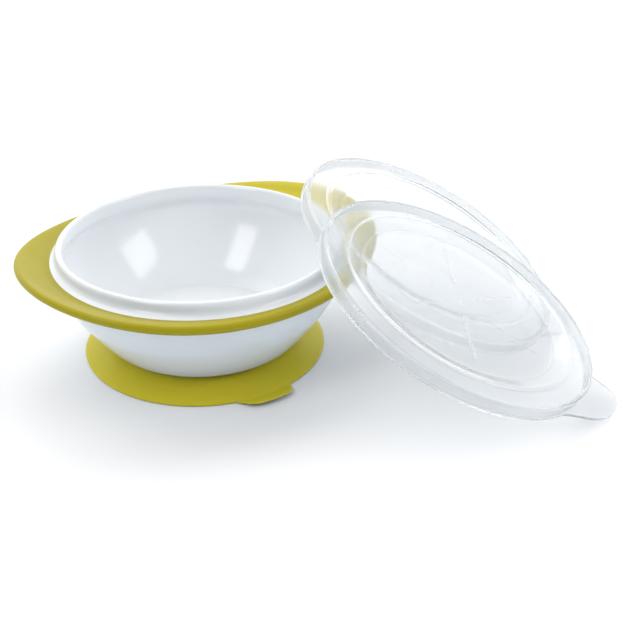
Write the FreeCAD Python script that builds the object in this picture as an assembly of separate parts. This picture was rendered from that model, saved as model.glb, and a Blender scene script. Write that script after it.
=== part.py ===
import FreeCAD, Part
import os
from math import sin, cos, tan, pi, radians, degrees, sqrt, hypot, atan2

os.makedirs("parts", exist_ok=True)
V = FreeCAD.Vector

# ---------------------------------------------------------------------------
# Driving dimensions, millimetres. +Z is up, the table is z = 0 and the bowl's
# axis is x = y = 0. The near side of the bowl is -Y.
# ---------------------------------------------------------------------------
# suction cup (soft elastomer)
cup_r = 60.0             # outer radius of the sealing edge
cup_edge_t = 1.2         # thickness at the edge
cup_seal_w = 3.2         # width of the flat sealing ring
cup_shoulder_r = 46.5    # where the cone meets the platform under the bowl
cup_top_z = 7.0          # platform height, the bowl's foot lies on it
cup_web_z = 4.2          # underside of the web
cup_hole_r = 13.0        # hole in the web for the bowl's socket ring

# release tab of the suction cup
tab_dir_deg = -56.8      # direction of the tab round the bowl's axis
tab_chord = 58.4         # distance of the tab's root line from the axis
tab_tip = 68.0            # distance of the tip from the axis
tab_root_hw = 13.4       # half width at the root
tab_mid_hw = 12.4        # half width before the corner rounding
tab_corner_r = 6.0
tab_top_root_z = 1.7
tab_top_tip_z = 3.5
tab_bot_root_z = 0.3
tab_bot_tip_z = 1.9

# anchor plug (rigid), locks the cup's web under the bowl
plug_disc_r = 18.0
plug_disc_z0 = 2.7
plug_disc_z1 = 4.2
plug_stem_r = 8.9
plug_stem_z1 = 6.8

# bowl shell (rigid)
foot_z = 7.0             # underside of the bowl
floor_z = 9.4            # inside floor
socket_r0 = 9.0          # socket ring under the floor
socket_r1 = 12.6
socket_z0 = 4.5
belt_r = 71.5            # cylinder that carries the collar
belt_z0 = 47.0
belt_z1 = 51.8
flange_r = 73.6          # small flange that keys into the collar
flange_z0 = 48.4
flange_z1 = 50.2
# outside of the wall from the foot up to the belt: each row is an arc, given
# as radius and height of its start, a point on it and its end
wall_arcs = [((43.0, 7.0), (46.4, 7.55), (48.6, 9.1)), ((48.6, 9.1), (55.7, 17.65), (62.4, 27.2)),
             ((62.4, 27.2), (67.8, 36.8), (71.1, 45.2)), ((71.1, 45.2), (71.4, 46.1), (71.5, 47.0))]
# shoulder and lip bead, from the belt up, over and down into the bowl
lip_arcs = [((71.0, 52.0), (69.1, 53.1), (68.5, 54.8)), ((68.5, 56.4), (66.8, 58.35), (65.1, 56.4)),
            ((65.1, 54.4), (65.75, 51.6), (67.2, 49.4)), ((67.2, 49.4), (68.65, 46.4), (68.2, 43.0))]
# inside of the wall down to the floor
inside_arcs = [((68.2, 43.0), (64.85, 35.2), (60.1, 27.2)), ((60.1, 27.2), (55.3, 20.6), (50.2, 14.6)),
               ((50.2, 14.6), (45.7, 11.05), (40.0, 9.4))]

# oval collar (soft elastomer), symmetric about the bowl's axis by half a turn
col_dir_deg = 37.5       # direction of its long axis
col_r0, col_r2 = 80.3, 6.2       # centre line of the rounded edge: mean, swing
col_z0, col_z2, col_z4 = 52.7, 3.9, 0.55
col_t0, col_t2 = 2.15, -0.25     # half thickness of the edge: mean, swing
col_root_z1 = belt_z1
col_root_z0 = 46.7

# clear press-on lids (rigid), both alike
lid_r = 69.9             # outer radius of the top bead
lid_wall_r = 69.5
lid_flange_r = 70.4
lid_in_r = 68.7
lid_h = 6.8              # depth of the skirt
lid_t = 1.1              # thickness of the top
lid_ridge_r = 58.3       # ridge between the rim channel and the dish
lid_ridge_h = 0.4
lid_panel_r = 49.6       # flat centre panel
lid_panel_z = -2.6
# outline of the pull tab: angle from the lid's own zero direction, radius
lid_tab_outline = [(-31.5, 70.4), (-28.0, 72.2), (-24.7, 74.8), (-21.2, 78.2), (-17.2, 81.6),
                   (-14.0, 83.8), (-10.8, 85.2), (-5.7, 86.6), (-2.1, 86.5), (1.3, 85.3),
                   (2.9, 82.9), (3.9, 79.5), (5.2, 73.8), (6.2, 71.4), (8.2, 70.4)]
lid_tab_t = 1.3
lid_rib_r0, lid_rib_r1, lid_rib_w, lid_rib_h = 14.0, 42.0, 2.2, 0.45
lid_rib_deg = 50.0       # one rib's direction from the line of steepest fall

# resting places of the two lids: centre of the top plane, direction in which
# the lid falls away, tilt, and the pull tab's direction from the line of fall
front_lid_c = (122.9, -35.1, 45.4)
front_lid_az, front_lid_tilt, front_lid_tab = -14.6, 26.55, 0.0
back_lid_c = (114.0, 17.3, 46.9)
back_lid_az, back_lid_tilt, back_lid_tab = -15.5, 27.5, 20.5

AXIS = (V(0, 0, 0), V(0, 0, 1))


# ---------------------------------------------------------------------------
# helpers
# ---------------------------------------------------------------------------
def rz(p):
    return V(p[0], 0, p[1])


def line(a, b):
    return Part.LineSegment(rz(a), rz(b)).toShape()


def spline(pts, t0=None, t1=None):
    c = Part.BSplineCurve()
    if t0 is not None:
        c.interpolate(Points=[rz(p) for p in pts], InitialTangent=rz(t0), FinalTangent=rz(t1))
    else:
        c.interpolate([rz(p) for p in pts])
    return c.toShape()


def turned(edges):
    """Solid of revolution about Z of a closed profile in the XZ plane."""
    face = Part.Face(Part.Wire(Part.__sortEdges__(edges)))
    return face.revolve(AXIS[0], AXIS[1], 360)


def ring(r0, r1, z0, z1):
    s = Part.makeCylinder(r1, z1 - z0, V(0, 0, z0))
    if r0 > 0:
        s = s.cut(Part.makeCylinder(r0, z1 - z0, V(0, 0, z0)))
    return s


def tongue(x0, tip, hw, hw_tip, corner, z0, z1):
    """Flat tongue along +X with a rounded tip, from x0 to tip."""
    k = tip - corner
    a = [V(x0, -hw, z0), V(k, -hw_tip, z0)]
    m1 = V(tip - corner * (1 - cos(pi / 4)), -(hw_tip - corner * (1 - sin(pi / 4))), z0)
    b = V(tip, -(hw_tip - corner), z0)
    c = V(tip, hw_tip - corner, z0)
    m2 = V(tip - corner * (1 - cos(pi / 4)), hw_tip - corner * (1 - sin(pi / 4)), z0)
    d = V(k, hw_tip, z0)
    e = V(x0, hw, z0)
    w = Part.Wire([Part.LineSegment(a[0], a[1]).toShape(),
                   Part.Arc(a[1], m1, b).toShape(),
                   Part.LineSegment(b, c).toShape(),
                   Part.Arc(c, m2, d).toShape(),
                   Part.LineSegment(d, e).toShape(),
                   Part.LineSegment(e, a[0]).toShape()])
    return Part.Face(w).extrude(V(0, 0, z1 - z0))


def clean(s):
    s = s.removeSplitter()
    if s.ShapeType != "Solid" and len(s.Solids) == 1:
        s = s.Solids[0]
    return s


# ---------------------------------------------------------------------------
# bowl shell: wall, floor, lip bead, collar belt with a keying flange, and a
# socket ring under the floor
# ---------------------------------------------------------------------------
def arc(a, m, b):
    return Part.Arc(rz(a), rz(m), rz(b)).toShape()


bowl = turned(
    [line((0, foot_z), wall_arcs[0][0])] + [arc(*q) for q in wall_arcs] +
    [line((belt_r, belt_z0), (belt_r, belt_z1)), line((belt_r, belt_z1), lip_arcs[0][0])] +
    [arc(*q) for q in lip_arcs] +
    [line(lip_arcs[0][2], lip_arcs[1][0]), line(lip_arcs[1][2], lip_arcs[2][0])] +
    [arc(*q) for q in inside_arcs] +
    [line(inside_arcs[-1][2], (0, floor_z)), line((0, floor_z), (0, foot_z))])
bowl = bowl.fuse(ring(belt_r - 1.0, flange_r, flange_z0, flange_z1))
bowl = bowl.fuse(ring(socket_r0, socket_r1, socket_z0, foot_z + 0.5))
bowl = clean(bowl)

# everything inside the bowl's outer skin at the belt, used to trim the collar
core = Part.makeCylinder(belt_r, 40.0, V(0, 0, 30.0))
core = core.fuse(ring(belt_r - 1.0, flange_r, flange_z0, flange_z1))


# ---------------------------------------------------------------------------
# collar: a saddle-shaped oval flange round the belt
# ---------------------------------------------------------------------------
def collar_section(t):
    u = t - radians(col_dir_deg)
    rc = col_r0 + col_r2 * cos(2 * u)
    zc = col_z0 + col_z2 * cos(2 * u) + col_z4 * cos(4 * u)
    h = col_t0 + col_t2 * cos(2 * u)

    def P(r, z):
        return V(r * cos(t), r * sin(t), z)

    r0 = belt_r - 1.2
    w = rc - belt_r
    dz = zc + h - col_root_z1
    db = zc - h - col_root_z0
    top = Part.BSplineCurve()
    top.interpolate([P(r0, col_root_z1 + 0.05), P(belt_r + 0.12 * w, col_root_z1 + 0.02 * dz),
                     P(belt_r + 0.5 * w, col_root_z1 + 0.42 * dz),
                     P(belt_r + 0.8 * w, col_root_z1 + 0.84 * dz), P(rc, zc + h)])
    end = Part.Arc(P(rc, zc + h), P(rc + h, zc), P(rc, zc - h)).toShape()
    bot = Part.BSplineCurve()
    bot.interpolate([P(rc, zc - h), P(belt_r + 0.6 * w, col_root_z0 + 0.58 * db),
                     P(belt_r + 0.2 * w, col_root_z0 + 0.14 * db), P(r0, col_root_z0)])
    inner = Part.LineSegment(P(r0, col_root_z0), P(r0, col_root_z1 + 0.05)).toShape()
    return Part.Wire([top.toShape(), end, bot.toShape(), inner])


step = 10
halves = []
for a0 in (0, 180):
    ws = [collar_section(radians(a0 + a)) for a in range(0, 181, step)]
    halves.append(Part.makeLoft(ws, True, False))
collar = halves[0].fuse(halves[1])
collar = clean(collar.cut(core))

# ---------------------------------------------------------------------------
# suction cup: thin-edged cone with a flat platform and a hollow underside
# ---------------------------------------------------------------------------
under = [(cup_r - cup_seal_w, 0.0), (55.0, 0.5), (51.0, 1.9), (46.5, 3.4), (42.0, 4.0), (38.0, cup_web_z)]
cup = turned([
    line((cup_hole_r, cup_web_z), (cup_hole_r, cup_top_z)),
    line((cup_hole_r, cup_top_z), (43.0, cup_top_z)),
    spline([(43.0, cup_top_z), (45.0, 6.55), (cup_shoulder_r + 1.0, 5.75), (51.5, 4.25),
            (55.5, 2.85), (58.6, 1.75), (cup_r - 0.35, cup_edge_t)]),
    Part.Arc(rz((cup_r - 0.35, cup_edge_t)), rz((cup_r, 0.75)), rz((cup_r - 0.1, 0.25))).toShape(),
    line((cup_r - 0.1, 0.25), (cup_r - 0.3, 0.0)),
    line((cup_r - 0.3, 0.0), under[0]),
    spline(under),
    line(under[-1], (cup_hole_r, cup_web_z)),
])
# the edge is straight where the release tab starts
cutter = Part.makeBox(10, 60, 20, V(tab_chord, -30, -5))
cutter.rotate(V(0, 0, 0), V(0, 0, 1), tab_dir_deg)
cup = clean(cup.cut(cutter))

# ---------------------------------------------------------------------------
# release tab: a lobe on the cup's edge that stands a little off the table
# ---------------------------------------------------------------------------
plan = tongue(tab_chord, tab_tip, tab_root_hw, tab_mid_hw, tab_corner_r, -1.0, 8.0)
side = Part.Face(Part.Wire(Part.makePolygon([
    V(tab_chord, -20, tab_bot_root_z), V(tab_tip + 1, -20, tab_bot_tip_z),
    V(tab_tip + 1, -20, tab_top_tip_z), V(tab_chord, -20, tab_top_root_z),
    V(tab_chord, -20, tab_bot_root_z)]))).extrude(V(0, 40, 0))
tab = plan.common(side)
tab = clean(tab)
try:
    rims = [e for e in tab.Edges
            if e.BoundBox.XMin > tab_chord + 0.5 and e.BoundBox.ZMin > 1.2 and e.BoundBox.ZLength < 1.7
            and e.BoundBox.ZMax > tab_top_root_z + 0.9]
    tab = tab.makeFillet(0.35, rims) if rims else tab
except Exception as err:
    print("tab edge left sharp", err)
tab.rotate(V(0, 0, 0), V(0, 0, 1), tab_dir_deg)

# ---------------------------------------------------------------------------
# anchor plug: disc under the web, stem pressed into the bowl's socket
# ---------------------------------------------------------------------------
plug = Part.makeCylinder(plug_disc_r, plug_disc_z1 - plug_disc_z0, V(0, 0, plug_disc_z0))
plug = plug.makeFillet(0.5, [e for e in plug.Edges if abs(e.BoundBox.ZMax - plug_disc_z0) < 1e-6
                             and e.BoundBox.XLength > 10])
plug = clean(plug.fuse(Part.makeCylinder(plug_stem_r, plug_stem_z1 - plug_disc_z1 + 0.2,
                                         V(0, 0, plug_disc_z1 - 0.2))))


# ---------------------------------------------------------------------------
# lids
# ---------------------------------------------------------------------------
def lid_solid(tab_deg, rib_deg):
    t = lid_t
    edges = [
        line((0, lid_panel_z), (lid_panel_r - 1.0, lid_panel_z)),
        spline([(lid_panel_r - 1.0, lid_panel_z), (lid_panel_r + 0.6, lid_panel_z + 0.25),
                (lid_ridge_r - 2.4, lid_ridge_h - 0.75), (lid_ridge_r - 0.8, lid_ridge_h - 0.1)]),
        Part.Arc(rz((lid_ridge_r - 0.8, lid_ridge_h - 0.1)), rz((lid_ridge_r, lid_ridge_h)),
                 rz((lid_ridge_r + 0.9, lid_ridge_h - 0.25))).toShape(),
        line((lid_ridge_r + 0.9, lid_ridge_h - 0.25), (lid_ridge_r + 2.0, -0.05)),
        line((lid_ridge_r + 2.0, -0.05), (lid_r - 1.3, 0.0)),
        Part.Arc(rz((lid_r - 1.3, 0.0)), rz((lid_r - 0.35, -0.42)), rz((lid_r, -1.3))).toShape(),
        line((lid_r, -1.3), (lid_wall_r, -1.9)),
        line((lid_wall_r, -1.9), (lid_wall_r, -5.1)),
        line((lid_wall_r, -5.1), (lid_flange_r, -5.5)),
        line((lid_flange_r, -5.5), (lid_flange_r, -lid_h)),
        line((lid_flange_r, -lid_h), (lid_in_r, -lid_h)),
        line((lid_in_r, -lid_h), (lid_in_r, -t - 0.8)),
        line((lid_in_r, -t - 0.8), (lid_in_r - 0.8, -t)),
        line((lid_in_r - 0.8, -t), (lid_ridge_r + 1.0, -t)),
        line((lid_ridge_r + 1.0, -t), (lid_ridge_r - 1.2, -t - 0.1)),
        line((lid_ridge_r - 1.2, -t - 0.1), (lid_panel_r + 0.2, lid_panel_z - t)),
        line((lid_panel_r + 0.2, lid_panel_z - t), (0, lid_panel_z - t)),
        line((0, lid_panel_z - t), (0, lid_panel_z)),
    ]
    s = turned(edges)
    pts = [V(r * cos(radians(q)), r * sin(radians(q)), -lid_h) for q, r in lid_tab_outline]
    edge = Part.BSplineCurve()
    edge.interpolate(pts)
    q0, q1 = radians(lid_tab_outline[0][0]), radians(lid_tab_outline[-1][0])
    ri = lid_wall_r - 0.4
    i0, i1 = V(ri * cos(q0), ri * sin(q0), -lid_h), V(ri * cos(q1), ri * sin(q1), -lid_h)
    im = V(ri * cos((q0 + q1) / 2), ri * sin((q0 + q1) / 2), -lid_h)
    pull = Part.Face(Part.Wire([edge.toShape(), Part.LineSegment(pts[-1], i1).toShape(),
                                Part.Arc(i1, im, i0).toShape(),
                                Part.LineSegment(i0, pts[0]).toShape()])).extrude(V(0, 0, lid_tab_t))
    pull.rotate(V(0, 0, 0), V(0, 0, 1), tab_deg)
    s = s.fuse(pull)
    for k in range(6):
        a = rib_deg + 60.0 * k
        r = Part.makeBox(lid_rib_r1 - lid_rib_r0, lid_rib_w, lid_rib_h + 0.4,
                         V(lid_rib_r0, -lid_rib_w / 2, lid_panel_z - 0.4))
        r = r.fuse(Part.makeCylinder(lid_rib_w / 2, lid_rib_h + 0.4, V(lid_rib_r0, 0, lid_panel_z - 0.4)))
        r = r.fuse(Part.makeCylinder(lid_rib_w / 2, lid_rib_h + 0.4, V(lid_rib_r1, 0, lid_panel_z - 0.4)))
        r = r.removeSplitter()
        r.rotate(V(0, 0, 0), V(0, 0, 1), a)
        s = s.fuse(r)
    s = s.fuse(Part.makeCylinder(1.5, 0.9, V(0, 0, lid_panel_z - 0.4)))
    return clean(s)


front_lid = lid_solid(front_lid_tab, lid_rib_deg)
back_lid = lid_solid(back_lid_tab, lid_rib_deg + back_lid_tab - front_lid_tab)


def placed(s, c, az, tilt):
    a, b = radians(az), radians(tilt)
    n = V(sin(b) * cos(a), sin(b) * sin(a), cos(b))
    e1 = V(cos(b) * cos(a), cos(b) * sin(a), -sin(b))
    e2 = n.cross(e1)
    m = FreeCAD.Matrix(e1.x, e2.x, n.x, c[0],
                       e1.y, e2.y, n.y, c[1],
                       e1.z, e2.z, n.z, c[2],
                       0, 0, 0, 1)
    q = s.copy()
    q.Placement = FreeCAD.Placement(m)
    return q


front_lid = placed(front_lid, front_lid_c, front_lid_az, front_lid_tilt)
back_lid = placed(back_lid, back_lid_c, back_lid_az, back_lid_tilt)

# ---------------------------------------------------------------------------
nodes = {
    "bowl_shell": bowl,
    "rim_collar": collar,
    "suction_cup": cup,
    "release_tab": tab,
    "anchor_plug": plug,
    "front_lid": front_lid,
    "back_lid": back_lid,
}
for name, shape in nodes.items():
    b = shape.BoundBox
    print("%-12s %-6s valid=%s solids=%d vol=%.0f mm3  x %.2f..%.2f  y %.2f..%.2f  z %.2f..%.2f" % (
        name, shape.ShapeType, shape.isValid(), len(shape.Solids), shape.Volume,
        b.XMin, b.XMax, b.YMin, b.YMax, b.ZMin, b.ZMax))
    shape.exportStep("parts/%s.step" % name)
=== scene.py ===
import bpy
import math
import numpy as np
from mathutils import Matrix, Vector


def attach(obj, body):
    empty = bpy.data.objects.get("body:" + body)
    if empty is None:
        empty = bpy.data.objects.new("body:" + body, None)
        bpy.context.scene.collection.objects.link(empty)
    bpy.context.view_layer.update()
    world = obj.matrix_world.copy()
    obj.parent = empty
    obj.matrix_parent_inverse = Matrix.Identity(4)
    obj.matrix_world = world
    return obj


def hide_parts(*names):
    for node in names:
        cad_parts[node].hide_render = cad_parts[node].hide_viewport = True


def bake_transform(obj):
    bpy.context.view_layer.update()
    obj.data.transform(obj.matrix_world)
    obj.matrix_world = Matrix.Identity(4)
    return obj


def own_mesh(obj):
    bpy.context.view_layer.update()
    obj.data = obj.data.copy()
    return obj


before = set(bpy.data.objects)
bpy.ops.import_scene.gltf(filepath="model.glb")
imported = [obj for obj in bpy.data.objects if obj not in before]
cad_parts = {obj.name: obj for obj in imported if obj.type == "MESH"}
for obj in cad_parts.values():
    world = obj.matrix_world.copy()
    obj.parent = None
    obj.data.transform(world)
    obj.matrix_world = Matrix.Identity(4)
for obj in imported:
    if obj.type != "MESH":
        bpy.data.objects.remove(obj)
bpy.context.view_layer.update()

MM = 0.001
pi = math.pi
rad = math.radians

# ---------------------------------------------------------------------------
# small geometry kit, all in millimetres
# ---------------------------------------------------------------------------
def make_object(name, verts, faces, smooth=True):
    me = bpy.data.meshes.new(name)
    me.from_pydata([tuple(c * MM for c in v) for v in verts], [], faces)
    me.update()
    me.validate()
    if smooth:
        me.polygons.foreach_set("use_smooth", [True] * len(me.polygons))
    ob = bpy.data.objects.new(name, me)
    bpy.context.scene.collection.objects.link(ob)
    return ob


def catmull(pts, n=6):
    """Centripetal Catmull-Rom through the points, n samples a span."""
    p = [np.array(q, float) for q in pts]
    p = [2 * p[0] - p[1]] + p + [2 * p[-1] - p[-2]]
    out = []
    for i in range(1, len(p) - 2):
        a, b, c, d = p[i - 1], p[i], p[i + 1], p[i + 2]
        t0 = 0.0
        t1 = t0 + max(np.linalg.norm(b - a), 1e-9) ** 0.5
        t2 = t1 + max(np.linalg.norm(c - b), 1e-9) ** 0.5
        t3 = t2 + max(np.linalg.norm(d - c), 1e-9) ** 0.5
        for k in range(n):
            t = t1 + (t2 - t1) * k / n
            a1 = (t1 - t) / (t1 - t0) * a + (t - t0) / (t1 - t0) * b
            a2 = (t2 - t) / (t2 - t1) * b + (t - t1) / (t2 - t1) * c
            a3 = (t3 - t) / (t3 - t2) * c + (t - t2) / (t3 - t2) * d
            b1 = (t2 - t) / (t2 - t0) * a1 + (t - t0) / (t2 - t0) * a2
            b2 = (t3 - t) / (t3 - t1) * a2 + (t - t1) / (t3 - t1) * a3
            out.append((t2 - t) / (t2 - t1) * b1 + (t - t1) / (t2 - t1) * b2)
    out.append(p[-2])
    return [tuple(q) for q in out]


def rounded(pts, closed=True, seg=6, step=None):
    """Polyline with each corner (x, y, radius) turned into an arc. Runs get a
    support point beside each arc, and are split to at most step."""
    n = len(pts)
    P = [np.array(q[:2], float) for q in pts]
    Rr = [q[2] if len(q) > 2 else 0.0 for q in pts]
    corners = []
    for i in range(n):
        r = Rr[i]
        if r <= 0 or (not closed and i in (0, n - 1)):
            corners.append([P[i]])
            continue
        a, b, c = P[i - 1], P[i], P[(i + 1) % n]
        u, w = (a - b), (c - b)
        lu, lw = np.linalg.norm(u), np.linalg.norm(w)
        u, w = u / lu, w / lw
        cosang = max(-1.0, min(1.0, float(u @ w)))
        ang = math.acos(cosang)
        if ang > pi - 0.02:
            corners.append([b])
            continue
        t = r / math.tan(ang / 2)
        t = min(t, 0.49 * lu, 0.49 * lw)
        r = t * math.tan(ang / 2)
        mid = u + w
        mid /= np.linalg.norm(mid)
        ctr = b + mid * (r / math.sin(ang / 2))
        s, e = b + u * t - ctr, b + w * t - ctr
        a0, a1 = math.atan2(s[1], s[0]), math.atan2(e[1], e[0])
        da = (a1 - a0 + pi) % (2 * pi) - pi
        k = max(2, int(math.ceil(seg * abs(da) / (pi / 2))))
        corners.append([ctr + r * np.array([math.cos(a0 + da * j / k), math.sin(a0 + da * j / k)])
                        for j in range(k + 1)])
    out = []
    m = n if closed else n - 1
    for i in range(n):
        out.extend(corners[i])
        if i == n - 1 and not closed:
            break
        s, e = corners[i][-1], corners[(i + 1) % n][0]
        L = np.linalg.norm(e - s)
        if L < 1e-6:
            continue
        sup = min(0.12, L * 0.2)
        d = (e - s) / L
        out.append(s + d * sup)
        if step:
            k = int((L - 2 * sup) // step)
            for j in range(1, k + 1):
                out.append(s + d * (sup + (L - 2 * sup) * j / (k + 1)))
        out.append(e - d * sup)
    clean = [out[0]]
    for q in out[1:]:
        if np.linalg.norm(q - clean[-1]) > 1e-4:
            clean.append(q)
    if closed and np.linalg.norm(clean[0] - clean[-1]) < 1e-4:
        clean.pop()
    return [tuple(float(c) for c in q) for q in clean]


def polar_solid(name, thetas, loop, poles=True):
    """Closed solid from a profile swept round Z. loop(j) gives the profile of
    column j as (r, z) points; the first and last points lie on the axis."""
    cols = [loop(j, th) for j, th in enumerate(thetas)]
    n, m = len(cols), len(cols[0])
    verts, faces = [], []
    verts.append((0.0, 0.0, cols[0][0][1]))
    for j, th in enumerate(thetas):
        c, s = math.cos(th), math.sin(th)
        for k in range(1, m - 1):
            r, z = cols[j][k]
            verts.append((r * c, r * s, z))
    verts.append((0.0, 0.0, cols[0][-1][1]))
    last = len(verts) - 1
    q = m - 2

    def vid(j, k):
        return 1 + (j % n) * q + k
    for j in range(n):
        faces.append((0, vid(j, 0), vid(j + 1, 0)))
        for k in range(q - 1):
            faces.append((vid(j, k), vid(j, k + 1), vid(j + 1, k + 1), vid(j + 1, k)))
        faces.append((vid(j, q - 1), last, vid(j + 1, q - 1)))
    return make_object(name, verts, faces)


def ring_solid(name, thetas, loop):
    """Closed ring from a closed profile swept round Z."""
    cols = [loop(j, th) for j, th in enumerate(thetas)]
    n, m = len(cols), len(cols[0])
    verts, faces = [], []
    for j, th in enumerate(thetas):
        c, s = math.cos(th), math.sin(th)
        for k in range(m):
            r, z = cols[j][k]
            verts.append((r * c, r * s, z))
    for j in range(n):
        for k in range(m):
            a, b = j * m + k, j * m + (k + 1) % m
            c2, d = ((j + 1) % n) * m + (k + 1) % m, ((j + 1) % n) * m + k
            faces.append((a, b, c2, d))
    return make_object(name, verts, faces)


def fix_normals(ob):
    import bmesh
    bm = bmesh.new()
    bm.from_mesh(ob.data)
    bmesh.ops.recalc_face_normals(bm, faces=bm.faces)
    bm.to_mesh(ob.data)
    bm.free()
    return ob


def even(n, start=0.0):
    return [start + 2 * pi * j / n for j in range(n)]


# ---------------------------------------------------------------------------
# materials
# ---------------------------------------------------------------------------
def srgb(r, g, b):
    def f(c):
        c = c / 255.0
        return c / 12.92 if c <= 0.04045 else ((c + 0.055) / 1.055) ** 2.4
    return (f(r), f(g), f(b), 1.0)


def new_mat(name):
    m = bpy.data.materials.new(name)
    m.use_nodes = True
    nt = m.node_tree
    nt.nodes.clear()
    out = nt.nodes.new("ShaderNodeOutputMaterial")
    bs = nt.nodes.new("ShaderNodeBsdfPrincipled")
    nt.links.new(bs.outputs["BSDF"], out.inputs["Surface"])
    return m, nt, bs, out


def noise(nt, scale, detail=3.0, rough=0.55, coords="Object"):
    tc = nt.nodes.new("ShaderNodeTexCoord")
    nz = nt.nodes.new("ShaderNodeTexNoise")
    nz.inputs["Scale"].default_value = scale
    nz.inputs["Detail"].default_value = detail
    nz.inputs["Roughness"].default_value = rough
    nt.links.new(tc.outputs[coords], nz.inputs["Vector"])
    return nz


def ramp(nt, src, lo, hi, a, b):
    mr = nt.nodes.new("ShaderNodeMapRange")
    mr.inputs["From Min"].default_value = lo
    mr.inputs["From Max"].default_value = hi
    mr.inputs["To Min"].default_value = a
    mr.inputs["To Max"].default_value = b
    nt.links.new(src, mr.inputs["Value"])
    return mr.outputs["Result"]


def mix_col(nt, fac, c1, c2):
    mx = nt.nodes.new("ShaderNodeMix")
    mx.data_type = "RGBA"
    nt.links.new(fac, mx.inputs["Factor"])
    mx.inputs["A"].default_value = c1
    mx.inputs["B"].default_value = c2
    return mx.outputs["Result"]


def bump(nt, bs, layers):
    """layers: (height socket, distance in metres, strength), chained."""
    prev = None
    for h, dist, strength in layers:
        b = nt.nodes.new("ShaderNodeBump")
        b.inputs["Distance"].default_value = dist
        b.inputs["Strength"].default_value = strength
        nt.links.new(h, b.inputs["Height"])
        if prev is not None:
            nt.links.new(prev, b.inputs["Normal"])
        prev = b.outputs["Normal"]
    nt.links.new(prev, bs.inputs["Normal"])


def white_plastic():
    m, nt, bs, out = new_mat("white_gloss_plastic")
    big = noise(nt, 18.0, 2.0)
    fine = noise(nt, 900.0, 3.0)
    bs.inputs["Roughness"].default_value = 0.2
    nt.links.new(mix_col(nt, ramp(nt, big.outputs["Fac"], 0.3, 0.7, 0.0, 1.0),
                         (0.862, 0.888, 0.91, 1), (0.88, 0.902, 0.922, 1)), bs.inputs["Base Color"])
    nt.links.new(ramp(nt, fine.outputs["Fac"], 0.3, 0.7, 0.11, 0.16), bs.inputs["Roughness"])
    bs.inputs["IOR"].default_value = 1.49
    bs.inputs["Subsurface Weight"].default_value = 0.15
    bs.inputs["Subsurface Radius"].default_value = (1.0, 1.0, 1.0)
    bs.inputs["Subsurface Scale"].default_value = 0.002
    bump(nt, bs, [(big.outputs["Fac"], 0.0004, 0.25), (fine.outputs["Fac"], 0.00001, 0.15)])
    return m


def lime_rubber(name, c0, c1, c2=None):
    m, nt, bs, out = new_mat(name)
    big = noise(nt, 22.0, 3.0)
    mid = noise(nt, 160.0, 4.0, 0.6)
    fine = noise(nt, 2600.0, 4.0, 0.65)
    f = ramp(nt, big.outputs["Fac"], 0.3, 0.7, 0.0, 1.0)
    # bounced light is taken from a paler colour, so the white bowl isn't dyed
    lp = nt.nodes.new("ShaderNodeLightPath")
    soft = nt.nodes.new("ShaderNodeMath")
    soft.operation = "MULTIPLY"
    soft.inputs[1].default_value = 0.9
    nt.links.new(lp.outputs["Is Diffuse Ray"], soft.inputs[0])
    own = mix_col(nt, f, c0, c1)
    if c2 is not None:                      # the far wing is painted a little lighter: painted light standing in for the extra light that falls there
        tc = nt.nodes.new("ShaderNodeTexCoord")
        dot = nt.nodes.new("ShaderNodeVectorMath")
        dot.operation = "DOT_PRODUCT"
        dot.inputs[1].default_value = (math.cos(rad(37.5)), math.sin(rad(37.5)), 0.0)
        nt.links.new(tc.outputs["Object"], dot.inputs[0])
        base = nt.nodes.new("ShaderNodeMix")
        base.data_type = "RGBA"
        nt.links.new(ramp(nt, dot.outputs["Value"], 0.010, 0.075, 0.0, 1.0), base.inputs["Factor"])
        nt.links.new(mix_col(nt, f, c0, c1), base.inputs["A"])
        base.inputs["B"].default_value = c2
        own = base.outputs["Result"]
    pale = nt.nodes.new("ShaderNodeMix")
    pale.data_type = "RGBA"
    nt.links.new(soft.outputs["Value"], pale.inputs["Factor"])
    nt.links.new(own, pale.inputs["A"])
    pale.inputs["B"].default_value = (0.33, 0.36, 0.38, 1)
    nt.links.new(pale.outputs["Result"], bs.inputs["Base Color"])
    nt.links.new(ramp(nt, mid.outputs["Fac"], 0.3, 0.7, 0.33, 0.41), bs.inputs["Roughness"])
    bs.inputs["IOR"].default_value = 1.48
    bs.inputs["Specular IOR Level"].default_value = 0.22
    bs.inputs["Subsurface Weight"].default_value = 0.12
    bs.inputs["Subsurface Radius"].default_value = (1.0, 0.9, 0.15)
    bs.inputs["Subsurface Scale"].default_value = 0.0025
    bump(nt, bs, [(mid.outputs["Fac"], 0.00006, 0.2), (fine.outputs["Fac"], 0.00002, 0.25)])
    return m


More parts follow.
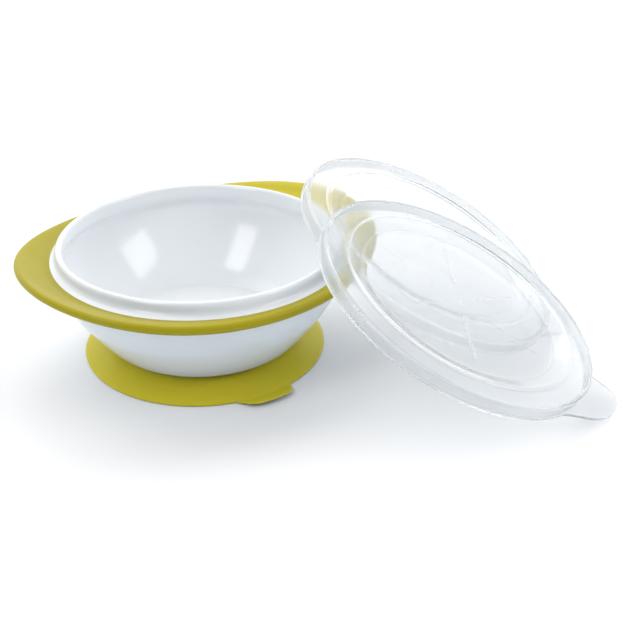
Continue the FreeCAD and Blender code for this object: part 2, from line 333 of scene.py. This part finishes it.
def clear_plastic():
    m, nt, bs, out = new_mat("clear_plastic")
    big = noise(nt, 30.0, 2.0)
    fine = noise(nt, 1200.0, 3.0)
    bs.inputs["Base Color"].default_value = (0.925, 0.94, 0.952, 1)
    bs.inputs["Transmission Weight"].default_value = 1.0
    bs.inputs["IOR"].default_value = 1.46
    at = nt.nodes.new("ShaderNodeAttribute")
    at.attribute_name = "haze_and_veil"
    dull = nt.nodes.new("ShaderNodeMath")
    dull.operation = "MULTIPLY_ADD"
    dull.inputs[1].default_value = 1.3
    nt.links.new(at.outputs["Fac"], dull.inputs[0])
    nt.links.new(ramp(nt, fine.outputs["Fac"], 0.3, 0.7, 0.09, 0.13), dull.inputs[2])
    nt.links.new(dull.outputs["Value"], bs.inputs["Roughness"])
    bump(nt, bs, [(big.outputs["Fac"], 0.0003, 0.05)])
    # light passes through to the table instead of leaving a black shadow
    lp = nt.nodes.new("ShaderNodeLightPath")
    tr = nt.nodes.new("ShaderNodeBsdfTransparent")
    tr.inputs["Color"].default_value = (0.835, 0.845, 0.855, 1)
    mx = nt.nodes.new("ShaderNodeMixShader")
    both = nt.nodes.new("ShaderNodeMath")
    both.operation = "MAXIMUM"
    nt.links.new(lp.outputs["Is Shadow Ray"], both.inputs[0])
    nt.links.new(lp.outputs["Is Diffuse Ray"], both.inputs[1])
    nt.links.new(both.outputs["Value"], mx.inputs["Fac"])
    # a light haze in the plastic, stronger where the mesh says so; on the lids' side away from the pull tab the extra
    # haze is a painted reflection veil
    haze = nt.nodes.new("ShaderNodeBsdfDiffuse")
    haze.inputs["Color"].default_value = (0.82, 0.85, 0.88, 1)
    add = nt.nodes.new("ShaderNodeMath")
    add.operation = "ADD"
    nt.links.new(at.outputs["Fac"], add.inputs[0])
    nt.links.new(ramp(nt, big.outputs["Fac"], 0.3, 0.7, 0.030, 0.045), add.inputs[1])
    body = nt.nodes.new("ShaderNodeMixShader")
    nt.links.new(add.outputs["Value"], body.inputs["Fac"])
    nt.links.new(bs.outputs["BSDF"], body.inputs[1])
    nt.links.new(haze.outputs["BSDF"], body.inputs[2])
    nt.links.new(body.outputs["Shader"], mx.inputs[1])
    nt.links.new(tr.outputs["BSDF"], mx.inputs[2])
    nt.links.new(mx.outputs["Shader"], out.inputs["Surface"])
    return m


WHITE, CLEAR = white_plastic(), clear_plastic()
# one lime elastomer in two copies: the collar's copy is painted darker as painted shade, the suction disc's and tab's
# copy is painted lighter as painted light
LIME_SHADED_COPY = lime_rubber("lime_elastomer_painted_shade", (0.39, 0.331, 0.007, 1), (0.415, 0.352, 0.010, 1), (0.59, 0.505, 0.018, 1))
LIME_LIT_COPY = lime_rubber("lime_elastomer_painted_light", (0.64, 0.548, 0.022, 1), (0.675, 0.578, 0.028, 1))


def finish_piece(ob, mat, body, slot, *nodes):
    ob.data.materials.clear()
    ob.data.materials.append(mat)
    if nodes:
        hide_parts(*nodes)
    return ob


# ---------------------------------------------------------------------------
# bowl shell
# ---------------------------------------------------------------------------
wall_out = [(46.0, 7.35), (48.4, 8.9), (51.9, 12.8), (55.7, 17.6), (59.2, 22.4), (62.4, 27.2),
            (65.3, 32.1), (67.9, 36.9), (70.1, 41.9), (71.2, 45.2), (71.5, 47.0)]
lip_over = [(71.5, 51.75), (70.6, 52.25), (69.3, 53.05), (68.6, 54.2), (68.5, 55.6), (68.35, 57.0),
            (67.75, 57.95), (66.8, 58.35), (65.85, 57.9), (65.25, 57.0), (65.1, 55.8), (65.1, 54.4),
            (65.45, 52.2), (66.6, 50.2), (68.0, 48.2), (68.7, 46.2), (68.6, 44.0), (67.7, 41.2),
            (65.6, 36.6), (63.0, 31.8), (60.1, 27.2), (57.0, 22.8), (53.6, 18.4), (50.2, 14.6),
            (47.3, 12.1), (45.3, 10.5), (44.5, 9.85), (43.9, 9.5), (43.2, 9.4), (42.4, 9.4)]
bowl_prof = [(0.0, 7.0), (8.0, 7.0), (8.9, 7.0), (9.0, 6.9), (9.0, 6.0), (9.0, 4.7), (9.2, 4.5), (12.4, 4.5), (12.6, 4.7),
             (12.6, 6.85), (12.75, 7.0), (14.0, 7.0), (20.0, 7.0), (30.0, 7.0), (40.0, 7.0), (43.0, 7.0)]
bowl_prof += catmull([(43.0, 7.0), (44.6, 7.05)] + wall_out, 6)[1:]
bowl_prof += [(71.5, 47.4), (71.5, 48.3), (71.6, 48.4), (73.5, 48.4), (73.6, 48.5), (73.6, 50.1), (73.5, 50.2), (71.6, 50.2), (71.5, 50.3)]
bowl_prof += catmull([(71.5, 51.3)] + lip_over, 6)
bowl_prof += [(40.0, 9.4), (38.0, 9.4), (34.0, 9.4), (26.0, 9.4), (18.0, 9.4), (10.0, 9.4), (4.0, 9.4), (0.0, 9.4)]
bowl = polar_solid("bowl_body", even(288), lambda j, th: bowl_prof)
fix_normals(bowl)
finish_piece(bowl, WHITE, "bowl", "white_plastic", "bowl_shell")
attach(bowl, "bowl")

# ---------------------------------------------------------------------------
# collar
# ---------------------------------------------------------------------------
COL_DIR, C_R0, C_R2, C_Z0, C_Z2, C_Z4, C_T0, C_T2 = 37.5, 80.3, 6.2, 52.7, 3.9, 0.55, 2.15, -0.25
BELT, ROOT1, ROOT0 = 71.5, 51.8, 46.7


def collar_loop(j, th):
    u = th - rad(COL_DIR)
    rc = C_R0 + C_R2 * math.cos(2 * u)
    zc = C_Z0 + C_Z2 * math.cos(2 * u) + C_Z4 * math.cos(4 * u)
    h = C_T0 + C_T2 * math.cos(2 * u)
    w = rc - BELT
    dz, db = zc + h - ROOT1, zc - h - ROOT0
    top = [(BELT - 0.3, ROOT1 - 0.02), (BELT + 0.12 * w, ROOT1 + 0.02 * dz), (BELT + 0.5 * w, ROOT1 + 0.42 * dz),
           (BELT + 0.8 * w, ROOT1 + 0.84 * dz), (rc, zc + h)]
    arc = [(rc + h * math.cos(a), zc + h * math.sin(a)) for a in np.linspace(pi / 2, -pi / 2, 17)]
    bot = [(rc, zc - h), (BELT + 0.6 * w, ROOT0 + 0.58 * db), (BELT + 0.2 * w, ROOT0 + 0.14 * db), (BELT - 0.3, ROOT0)]
    pts = catmull(top, 5)[:-1] + arc + catmull(bot, 5)[1:]
    inner = [(BELT - 0.3, ROOT0 + (ROOT1 - ROOT0) * f) for f in (0.25, 0.5, 0.75)]
    return pts + inner


collar = ring_solid("oval_collar", even(320), collar_loop)
fix_normals(collar)
finish_piece(collar, LIME_SHADED_COPY, "bowl", "lime_elastomer", "rim_collar")
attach(collar, "bowl")

# ---------------------------------------------------------------------------
# suction cup and its release tab
# ---------------------------------------------------------------------------
TAB_DIR, CHORD = rad(-56.8), 58.4
cup_top = catmull([(43.0, 7.0), (45.0, 6.55), (47.5, 5.75), (51.5, 4.25), (55.5, 2.85), (58.6, 1.75), (59.65, 1.2)], 5)
cup_prof = [(13.0, 4.2), (13.0, 5.6), (13.0, 7.0), (16.0, 7.0), (26.0, 7.0), (36.0, 7.0), (41.0, 7.0)] + cup_top + \
    [(59.85, 1.08), (59.97, 0.9), (60.0, 0.7), (59.97, 0.45), (59.88, 0.22), (59.7, 0.03), (59.5, 0.0), (58.0, 0.0), (56.9, 0.0)] + \
    catmull([(56.8, 0.0), (55.0, 0.5), (51.0, 1.9), (46.5, 3.4), (42.0, 4.0), (38.0, 4.2)], 4) + [(30.0, 4.2), (20.0, 4.2)]


def cup_loop(j, th):
    d = math.cos(th - TAB_DIR)
    lim = CHORD / d if d > 0.2 else 1e9
    return [(min(r, lim), z) for r, z in cup_prof]


CH_ANG = math.acos(CHORD / 60.0)
ths = sorted(even(300) + [TAB_DIR % (2 * pi) + a for a in (-CH_ANG, CH_ANG)])
cup = ring_solid("suction_disc", ths, cup_loop)
fix_normals(cup)
finish_piece(cup, LIME_LIT_COPY, "base", "lime_elastomer", "suction_cup")
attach(cup, "base")
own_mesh(cup)


DISC_R = [43.0, 45.0, 47.5, 51.5, 55.5, 58.6, 59.65, 60.4, 61.5]
DISC_Z = [7.0, 6.55, 5.75, 4.25, 2.85, 1.75, 1.36, 1.22, 1.2]


def ease(t):
    t = max(0.0, min(1.0, t))
    return t * t * (3 - 2 * t)


def tab_solid():
    """Lobe on the disc's edge: its top runs on from the disc, then rises."""
    nx, ny = 34, 44
    x0, x1, rc = 56.9, 68.0, 5.2

    def half(x, side):
        t = max(0.0, (x - 58.4) / (68.0 - 58.4))
        amp, wid = ((2.6, 2.4), (1.5, 1.1))[side > 0]
        flare = amp * math.exp(-((max(x, 58.6) - 58.6) / wid) ** 2)
        base = (11.9, 13.4)[side > 0] - 0.7 * t
        k = x - (x1 - rc)
        cut = rc - math.sqrt(max(0.0, rc ** 2 - k * k)) if k > 0 else 0.0
        return base + flare - cut
    verts, faces, rows = [], [], []
    for i in range(nx + 1):
        f = i / nx
        x = x0 + (x1 - x0) * (1 - (1 - f) ** 1.6)
        hl, hr = half(x, -1), half(x, 1)
        tipf = min(1.0, (x1 - x) / 0.8)
        tipf = max(0.03, math.sqrt(max(0.0, 1 - (1 - tipf) ** 2)))
        top, bot = [], []
        for k in range(ny):
            q = -1 + 2 * k / (ny - 1)
            q = math.copysign(1 - (1 - abs(q)) ** 1.5, q)
            y = q * (hr if q > 0 else hl)
            xx = x - 0.012 * y * y * ease((x - 62.0) / 6.0)      # the tip edge follows the disc's curve
            r = math.hypot(xx, y)
            rise = 1.95 * ease((r - 60.2) / 9.5)
            zt = float(np.interp(r, DISC_R, DISC_Z)) - (0.05 if r < 59.4 else 0.0) + rise
            zb = 0.15 + (1.95 + 0.1) * ease((r - 59.0) / 10.5)
            zt = max(zt, zb + 0.9)
            e = min(1.0, (1 - abs(q)) * (hr if q > 0 else hl) / 0.6)
            e = math.sqrt(max(0.0, 1 - (1 - e) ** 2)) * tipf
            zm, hh = (zt + zb) / 2, (zt - zb) / 2
            top.append((xx, y, zm + hh * e))
            bot.append((xx, y, zm - hh * e))
        rows.append(top + bot[::-1][1:-1])
    m = len(rows[0])
    for r in rows:
        verts.extend(r)
    for i in range(nx):
        for k in range(m):
            a, b = i * m + k, i * m + (k + 1) % m
            faces.append((a, b, b + m, a + m))
    faces.append(tuple(range(m))[::-1])
    faces.append(tuple(nx * m + k for k in range(m)))
    c, s = math.cos(TAB_DIR), math.sin(TAB_DIR)
    return [(c * x - s * y, s * x + c * y, z) for x, y, z in verts], faces


v, f = tab_solid()
tab = make_object("release_flap", v, f)
fix_normals(tab)
finish_piece(tab, LIME_LIT_COPY, "release_tab", "lime_elastomer", "release_tab")
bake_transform(tab)

# ---------------------------------------------------------------------------
# clear lids
# ---------------------------------------------------------------------------
TAB_OUT = [(-31.5, 70.4), (-28.0, 72.2), (-24.7, 74.8), (-21.2, 78.2), (-17.2, 81.6), (-14.0, 83.8), (-10.8, 85.2),
           (-5.7, 86.6), (-2.1, 86.5), (1.3, 85.3), (2.9, 82.9), (3.9, 79.5), (5.2, 73.8), (6.2, 71.4), (8.2, 70.4)]


def lid_columns(tab_deg):
    """Angles and outer radii of the flange, finer round the pull tab."""
    pts = [(r * math.cos(rad(a)), r * math.sin(rad(a))) for a, r in TAB_OUT]
    fine = catmull(pts, 6)
    cols = [(math.atan2(y, x), math.hypot(x, y)) for x, y in fine]
    a0, a1 = cols[0][0], cols[-1][0]
    n = 392
    rest = [(a1 + (2 * pi - (a1 - a0)) * k / n, 70.4) for k in range(1, n)]
    cols = cols + rest
    return [(a + rad(tab_deg), max(70.4, r)) for a, r in cols]


def lid_profile():
    t = 1.1
    # (r, h, flag); flag is how far the point follows the pull tab outwards
    top = [(0.0, -2.6), (2.0, -2.6)] + [(float(r), -2.6) for r in np.arange(3.0, 49.01, 1.0)]
    slope = catmull([(49.0, -2.6), (50.4, -2.35), (53.0, -1.45), (55.9, -0.35), (57.3, 0.22), (58.1, 0.42), (58.9, 0.3), (60.0, -0.03), (61.2, -0.06)], 5)[1:]
    rim = rounded([(61.2, -0.06, 0), (69.9, 0.0, 1.3), (69.9, -1.6, 0.3), (69.5, -1.95, 0.3), (69.5, -5.5, 0.3), (69.85, -5.5, 0)],
                  closed=False, seg=8, step=1.4)[1:]
    out = [(x, z, 0.0) for x, z in top + slope + rim]
    for w in (0.03, 0.08, 0.16, 0.28, 0.42, 0.57, 0.72, 0.84, 0.93, 0.98):
        out.append((69.85 + 0.25 * w, -5.5, w))
    for a in np.linspace(pi / 2, -pi / 2, 9):
        out.append((70.1 + 0.3 * math.cos(a), -6.15 + 0.65 * math.sin(a), 1.0))
    for w in (0.98, 0.93, 0.84, 0.72, 0.57, 0.42, 0.28, 0.16, 0.08, 0.03):
        out.append((69.3 + 0.8 * w, -6.8, w))
    under = rounded([(69.3, -6.8, 0), (68.7, -6.8, 0.25), (68.7, -t, 0.8), (60.0, -t, 1.0), (57.2, -1.0, 1.5), (50.3, -3.75, 1.5), (46.0, -3.7, 0)],
                    closed=False, seg=6, step=1.6)[1:]
    out += [(x, z, 0.0) for x, z in under]
    out += [(float(r), -3.7, 0.0) for r in np.arange(44.0, 1.9, -3.0)] + [(0.0, -3.7, 0.0)]
    return out


LID_PROF = lid_profile()


def lid_mesh(name, tab_deg, rib_deg, tall):
    cols = lid_columns(tab_deg)
    ribs = [rad(rib_deg + 60 * k) for k in range(6)]

    def loop(j, th):
        R = cols[j][1]
        out = []
        for r, h, w in LID_PROF:
            rr = r + (R - 70.4) * w
            hh = h
            if w == 0.0 and abs(h + 2.6) < 1e-6:
                up = 0.0
                for a, top_h in zip(ribs, tall):
                    d = (th - a + pi) % (2 * pi) - pi
                    if abs(d) < pi / 2:
                        x, y = r * math.cos(d), r * math.sin(d)
                        dx = max(14.0 - x, 0.0, x - 42.0)
                        dist = math.hypot(dx, y)
                        one = 1 - min(1.0, max(0.0, (dist - 0.2) / 1.5))
                        up = max(up, one * one * (3 - 2 * one) * top_h)
                dot = 1 - min(1.0, max(0.0, (r - 1.1) / 0.7))
                hh = h + up + 0.3 * dot
            out.append((rr, hh))
        return out
    return polar_solid(name, [c[0] for c in cols], loop)


def place(ob, c, az, tilt):
    a, b = rad(az), rad(tilt)
    n = Vector((math.sin(b) * math.cos(a), math.sin(b) * math.sin(a), math.cos(b)))
    e1 = Vector((math.cos(b) * math.cos(a), math.cos(b) * math.sin(a), -math.sin(b)))
    e2 = n.cross(e1)
    m = Matrix(((e1.x, e2.x, n.x, c[0] * MM), (e1.y, e2.y, n.y, c[1] * MM), (e1.z, e2.z, n.z, c[2] * MM), (0, 0, 0, 1)))
    ob.data.transform(m)
    return ob


LIDS = {"front": ((122.9, -35.1, 45.4), -14.6, 26.55, 0.0), "back": ((114.0, 17.3, 46.9), -15.5, 27.5, 20.5)}
for key, (c, az, tilt, tab_deg) in LIDS.items():
    lid = lid_mesh(key + "_clear_lid", tab_deg, 50.0 + tab_deg,
                   (0.18, 0.18, 0.05, 0.05, 0.18, 0.05) if key == "front" else (0.05,) * 6)
    fix_normals(lid)
    haze_and_veil = lid.data.attributes.new("haze_and_veil", "FLOAT", "POINT")
    fr = []
    for vt in lid.data.vertices:
        x, y, z = vt.co.x / MM, vt.co.y / MM, vt.co.z / MM
        r = math.hypot(x, y)
        up = 0.0
        if r < 48.0 and z > -2.7:
            up = max(0.0, min(1.0, (z + 2.6) / 0.15)) * 0.14
        else:
            far = 0.5 - 0.5 * x / max(r, 1e-6)              # 1 on the side away from the pull tab
            far = ease((far - 0.55) / 0.35)
            # the extra haze on this far side is a painted reflection veil; the rest is the plastic's own haze
            up = 0.07 + 0.08 * far if (r > 68.3 or z < -4.6) else (0.01 + 0.015 * far if r > 49.0 else 0.0)
        fr.append(up)
    haze_and_veil.data.foreach_set("value", fr)
    place(lid, c, az, tilt)
    finish_piece(lid, CLEAR, key + "_lid", "clear_plastic", key + "_lid")
    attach(lid, key + "_lid")

# the hidden plug keeps its solid
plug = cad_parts["anchor_plug"]
plug.data.materials.clear()
plug.data.materials.append(WHITE)

# ---------------------------------------------------------------------------
# stage: table, light, camera
# ---------------------------------------------------------------------------
floor = make_object("table_top", [(-3000, -3000, -0.05), (3000, -3000, -0.05), (3000, 3000, -0.05), (-3000, 3000, -0.05)], [(0, 1, 2, 3)], smooth=False)
fm, nt, bs, out = new_mat("pale_table")
nz = noise(nt, 6.0, 2.0)
# light bounced off the table takes a darker, bluish colour: painted shade on the bowl's lower front, while the table
# itself stays evenly pale
lp = nt.nodes.new("ShaderNodeLightPath")
pale = nt.nodes.new("ShaderNodeMix")
pale.data_type = "RGBA"
nt.links.new(lp.outputs["Is Diffuse Ray"], pale.inputs["Factor"])
nt.links.new(mix_col(nt, nz.outputs["Fac"], (0.935, 0.935, 0.935, 1), (0.955, 0.955, 0.955, 1)), pale.inputs["A"])
pale.inputs["B"].default_value = (0.76, 0.81, 0.86, 1)
nt.links.new(pale.outputs["Result"], bs.inputs["Base Color"])
bs.inputs["Roughness"].default_value = 0.6
bs.inputs["Specular IOR Level"].default_value = 0.2
floor.data.materials.append(fm)

sc = bpy.context.scene
sc.view_settings.view_transform = "Standard"
sc.view_settings.look = "None"

WORLD_FRONT, WORLD_BACK, WORLD_TOP = 0.18, 1.25, 0.52
world = bpy.data.worlds.new("studio")
sc.world = world
world.use_nodes = True
wt = world.node_tree
bg = wt.nodes["Background"]
# a bright backdrop behind the table, dimmer towards the near side
tc = wt.nodes.new("ShaderNodeTexCoord")
sep = wt.nodes.new("ShaderNodeSeparateXYZ")
wt.links.new(tc.outputs["Generated"], sep.inputs["Vector"])
mr = wt.nodes.new("ShaderNodeMapRange")
mr.interpolation_type = "SMOOTHSTEP"
mr.inputs["From Min"].default_value = -0.9
mr.inputs["From Max"].default_value = 0.8
mr.inputs["To Min"].default_value = WORLD_FRONT
mr.inputs["To Max"].default_value = WORLD_BACK
wt.links.new(sep.outputs["Y"], mr.inputs["Value"])
zz = wt.nodes.new("ShaderNodeMapRange")
zz.interpolation_type = "SMOOTHSTEP"
zz.inputs["From Min"].default_value = 0.45
zz.inputs["From Max"].default_value = 1.0
zz.inputs["To Min"].default_value = 0.0
zz.inputs["To Max"].default_value = 1.0
wt.links.new(sep.outputs["Z"], zz.inputs["Value"])
ml = wt.nodes.new("ShaderNodeMix")
ml.data_type = "FLOAT"
wt.links.new(zz.outputs["Result"], ml.inputs["Factor"])
wt.links.new(mr.outputs["Result"], ml.inputs["A"])
ml.inputs["B"].default_value = WORLD_TOP
bg.inputs["Color"].default_value = (0.982, 0.992, 1.0, 1)
wt.links.new(ml.outputs["Result"], bg.inputs["Strength"])


def area(name, loc, target, size, size_y, power, color=(1, 1, 1)):
    ld = bpy.data.lights.new(name, "AREA")
    ld.shape = "RECTANGLE"
    ld.size, ld.size_y = size, size_y
    ld.energy = power
    ld.color = color
    ob = bpy.data.objects.new(name, ld)
    sc.collection.objects.link(ob)
    ob.location = loc
    d = Vector(target) - Vector(loc)
    ob.rotation_euler = d.to_track_quat("-Z", "Y").to_euler()
    return ob


def softbox(name, az, el, dist, w, h, radiance, aim=(0.02, 0.0, 0.03)):
    p = (aim[0] + dist * math.cos(rad(el)) * math.cos(rad(az)), aim[1] + dist * math.cos(rad(el)) * math.sin(rad(az)),
         aim[2] + dist * math.sin(rad(el)))
    return area(name, p, aim, w, h, radiance * pi * w * h)


softbox("box_front_left", -131, 43, 1.05, 0.30, 0.54, 5.2)
softbox("box_front_right", -16, 36, 1.0, 0.48, 0.32, 4.7)


def soft_sun(name, az, el, energy, angle=45):
    ld = bpy.data.lights.new(name, "SUN")
    ld.energy = energy
    ld.angle = rad(angle)
    ob = bpy.data.objects.new(name, ld)
    sc.collection.objects.link(ob)
    d = Vector((math.cos(rad(el)) * math.cos(rad(az)), math.cos(rad(el)) * math.sin(rad(az)), math.sin(rad(el))))
    ob.rotation_euler = (-d).to_track_quat("-Z", "Y").to_euler()


soft_sun("soft_back_left", 140, 58, 0.70)
soft_sun("soft_back", 78, 50, 0.66)

cam_d = bpy.data.cameras.new("camera")
cam = bpy.data.objects.new("camera", cam_d)
sc.collection.objects.link(cam)
cam_d.sensor_width = 36.0
cam_d.lens = 56.25
cam_d.clip_start = 0.01
cam_d.clip_end = 50.0
cp, sp, cr_, sr_ = math.cos(rad(29.33)), math.sin(rad(29.33)), math.cos(0.00622), math.sin(0.00622)
Rr = Matrix(((cr_, -sr_, 0), (sr_, cr_, 0), (0, 0, 1))) @ Matrix(((1, 0, 0), (0, -sp, -cp), (0, cp, -sp)))
right, up, back = Rr[0], -Rr[1], -Rr[2]
cam.matrix_world = Matrix(((right[0], up[0], back[0], 0.057954), (right[1], up[1], back[1], -0.439137),
                           (right[2], up[2], back[2], 0.259135), (0, 0, 0, 1)))
sc.camera = cam
